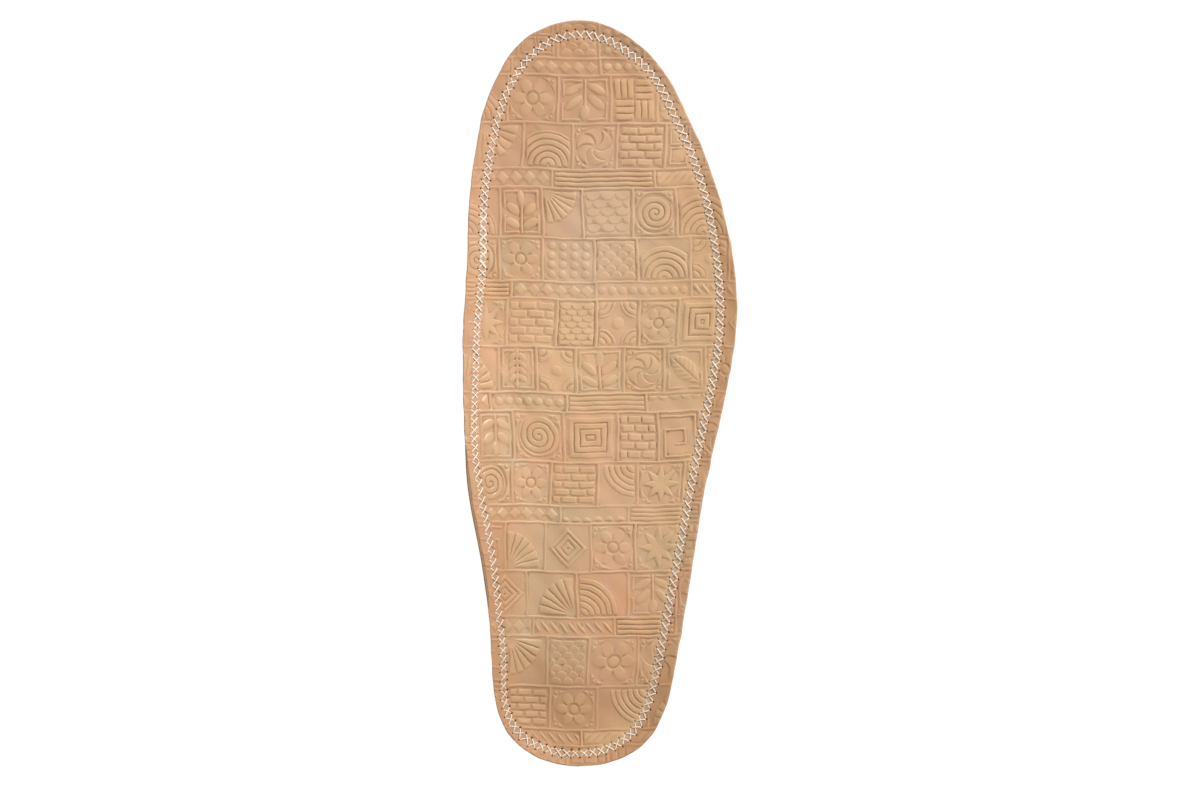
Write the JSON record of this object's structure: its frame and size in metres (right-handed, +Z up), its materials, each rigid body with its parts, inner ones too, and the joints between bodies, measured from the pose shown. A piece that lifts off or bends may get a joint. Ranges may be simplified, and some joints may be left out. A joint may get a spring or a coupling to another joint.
{
  "type": "shoe insole",
  "caption": "Dished insole for a right shoe: a tan embossed leather cover, cross-stitched all round near its edge, on a moulded foam base.",
  "frame": {"origin": "centre of the outline's box seen from above, on the underside that rests on the floor", "axes": "+Y towards the toe, -X towards the medial (arch) side, +Z up"},
  "size_m": [0.1052, 0.2852, 0.0188],
  "materials": {
    "cover_leather": "natural tan, embossed, satin",
    "base_foam": "brown closed-cell foam, matt",
    "seam_thread": "off-white twisted thread"
  },
  "bodies": {
    "root": {"leather_cover": "cover_leather", "base_pad": "base_foam"}
  },
  "joints": []
}
